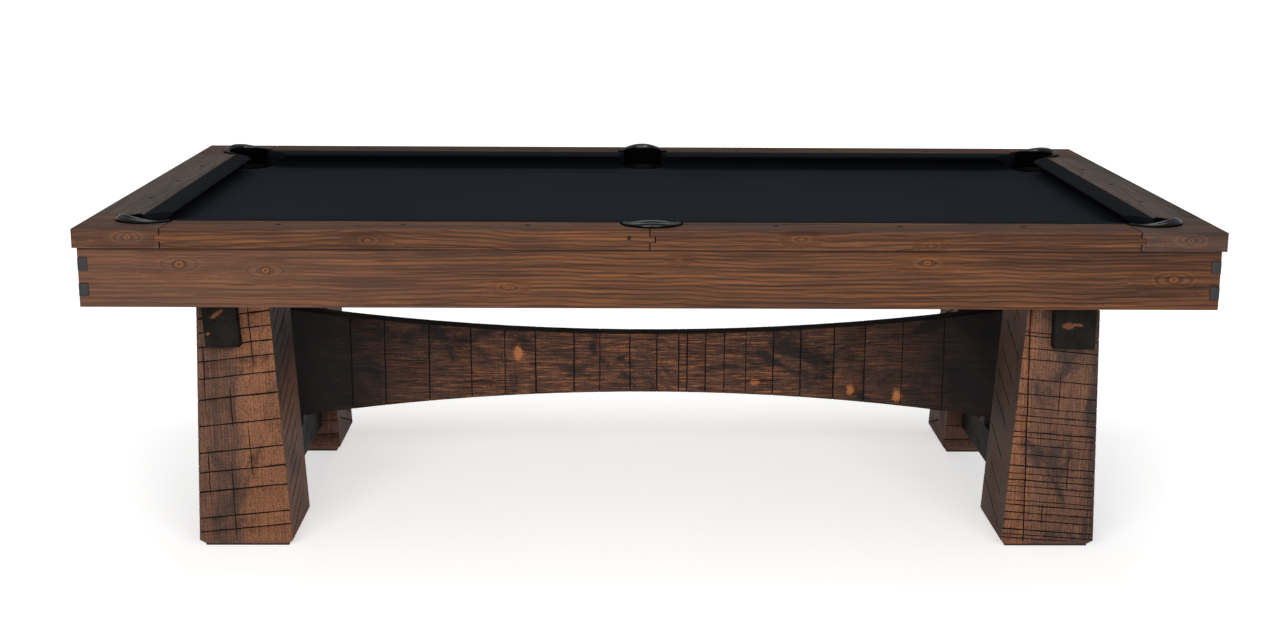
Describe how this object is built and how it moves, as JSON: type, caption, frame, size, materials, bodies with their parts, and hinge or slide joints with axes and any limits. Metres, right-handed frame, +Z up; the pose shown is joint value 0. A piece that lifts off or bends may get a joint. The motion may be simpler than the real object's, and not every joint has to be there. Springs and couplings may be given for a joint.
{
  "type": "pool table",
  "caption": "Slate-bed pool table with drop pockets, box-jointed apron, rough-sawn tapered legs and an arched lower panel.",
  "frame": {"origin": "centre of the footprint, on the floor", "axes": "+X along the table, +Y from the front long side to the rear one, +Z up"},
  "size_m": [2.566, 1.448, 0.83],
  "materials": {
    "pine": "stained knotty pine, satin",
    "weathered_pine": "grey-brown stained pine with cracks, satin",
    "sawn_timber": "rough-sawn stained timber with dark saw kerfs",
    "charred_timber": "blackened timber, matte",
    "frame_timber": "plain sawn softwood",
    "slate": "honed slate",
    "bed_cloth": "dark navy woven billiard cloth",
    "cushion_cloth": "dark navy woven billiard cloth",
    "cushion_rubber": "gum rubber",
    "pocket_leather": "black leather, semi-gloss",
    "bucket_leather": "black leather, matte",
    "sight": "dark inlay",
    "foot_rubber": "black rubber",
    "foot_disc": "black moulded nylon",
    "steel": "zinc-plated steel",
    "black_steel": "black oxide"
  },
  "bodies": {
    "table": {"slate_left": "slate", "slate_centre": "slate", "slate_right": "slate", "slate_backing": "frame_timber", "bed_cloth": "bed_cloth", "cushion_front_left": "cushion_cloth", "cushion_front_right": "cushion_cloth", "cushion_rear_left": "cushion_cloth", "cushion_rear_right": "cushion_cloth", "cushion_left": "cushion_cloth", "cushion_right": "cushion_cloth", "cushion_rubbers": "cushion_rubber", "rail_front_left": "pine", "rail_front_right": "pine", "rail_rear_left": "pine", "rail_rear_right": "pine", "rail_left": "weathered_pine", "rail_right": "weathered_pine", "corner_block_front_left": "pine", "corner_block_front_right": "pine", "corner_block_rear_left": "pine", "corner_block_rear_right": "pine", "pocket_iron_front_left": "pocket_leather", "pocket_iron_front_side": "pocket_leather", "pocket_iron_front_right": "pocket_leather", "pocket_iron_rear_left": "pocket_leather", "pocket_iron_rear_side": "pocket_leather", "pocket_iron_rear_right": "pocket_leather", "pocket_buckets": "bucket_leather", "sights": "sight", "apron_front": "pine", "apron_rear": "pine", "apron_left": "weathered_pine", "apron_right": "weathered_pine", "corner_brackets": "steel", "frame_beams": "frame_timber", "frame_joists": "frame_timber", "top_beam_left": "charred_timber", "top_beam_right": "charred_timber", "leg_front_left": "sawn_timber", "leg_front_right": "sawn_timber", "leg_rear_left": "sawn_timber", "leg_rear_right": "sawn_timber", "stretcher_left": "charred_timber", "stretcher_right": "charred_timber", "arch_panel": "sawn_timber", "leg_pads": "foot_rubber", "leveller_inserts": "steel", "slate_screws": "steel", "rail_bolts": "steel", "frame_bolts": "black_steel"},
    "foot_front_left": {"leveller_disc_front_left": "foot_disc"},
    "stem_front_left": {"leveller_stem_front_left": "steel"},
    "foot_front_right": {"leveller_disc_front_right": "foot_disc"},
    "stem_front_right": {"leveller_stem_front_right": "steel"},
    "foot_rear_left": {"leveller_disc_rear_left": "foot_disc"},
    "stem_rear_left": {"leveller_stem_rear_left": "steel"},
    "foot_rear_right": {"leveller_disc_rear_right": "foot_disc"},
    "stem_rear_right": {"leveller_stem_rear_right": "steel"}
  },
  "joints": [
    {"name": "foot_front_left_height", "type": "slide", "parent": "table", "child": "foot_front_left", "axis": [0, 0, 1], "range_m": [-0.02, 0]},
    {"name": "stem_front_left_turn", "type": "hinge", "parent": "foot_front_left", "child": "stem_front_left", "pos_m": [-0.96875, -0.391, 0.01], "axis": [0, 0, 1], "range_deg": [-3601, 0]},
    {"name": "foot_front_right_height", "type": "slide", "parent": "table", "child": "foot_front_right", "axis": [0, 0, 1], "range_m": [-0.02, 0]},
    {"name": "stem_front_right_turn", "type": "hinge", "parent": "foot_front_right", "child": "stem_front_right", "pos_m": [0.96875, -0.391, 0.01], "axis": [0, 0, 1], "range_deg": [-3601, 0]},
    {"name": "foot_rear_left_height", "type": "slide", "parent": "table", "child": "foot_rear_left", "axis": [0, 0, 1], "range_m": [-0.02, 0]},
    {"name": "stem_rear_left_turn", "type": "hinge", "parent": "foot_rear_left", "child": "stem_rear_left", "pos_m": [-0.96875, 0.391, 0.01], "axis": [0, 0, 1], "range_deg": [-3601, 0]},
    {"name": "foot_rear_right_height", "type": "slide", "parent": "table", "child": "foot_rear_right", "axis": [0, 0, 1], "range_m": [-0.02, 0]},
    {"name": "stem_rear_right_turn", "type": "hinge", "parent": "foot_rear_right", "child": "stem_rear_right", "pos_m": [0.96875, 0.391, 0.01], "axis": [0, 0, 1], "range_deg": [-3601, 0]}
  ],
  "couplings": [
    {"joint": "stem_front_left_turn", "follows": "foot_front_left_height", "rad_per_m": 3141.6},
    {"joint": "stem_front_right_turn", "follows": "foot_front_right_height", "rad_per_m": 3141.6},
    {"joint": "stem_rear_left_turn", "follows": "foot_rear_left_height", "rad_per_m": 3141.6},
    {"joint": "stem_rear_right_turn", "follows": "foot_rear_right_height", "rad_per_m": 3141.6}
  ]
}
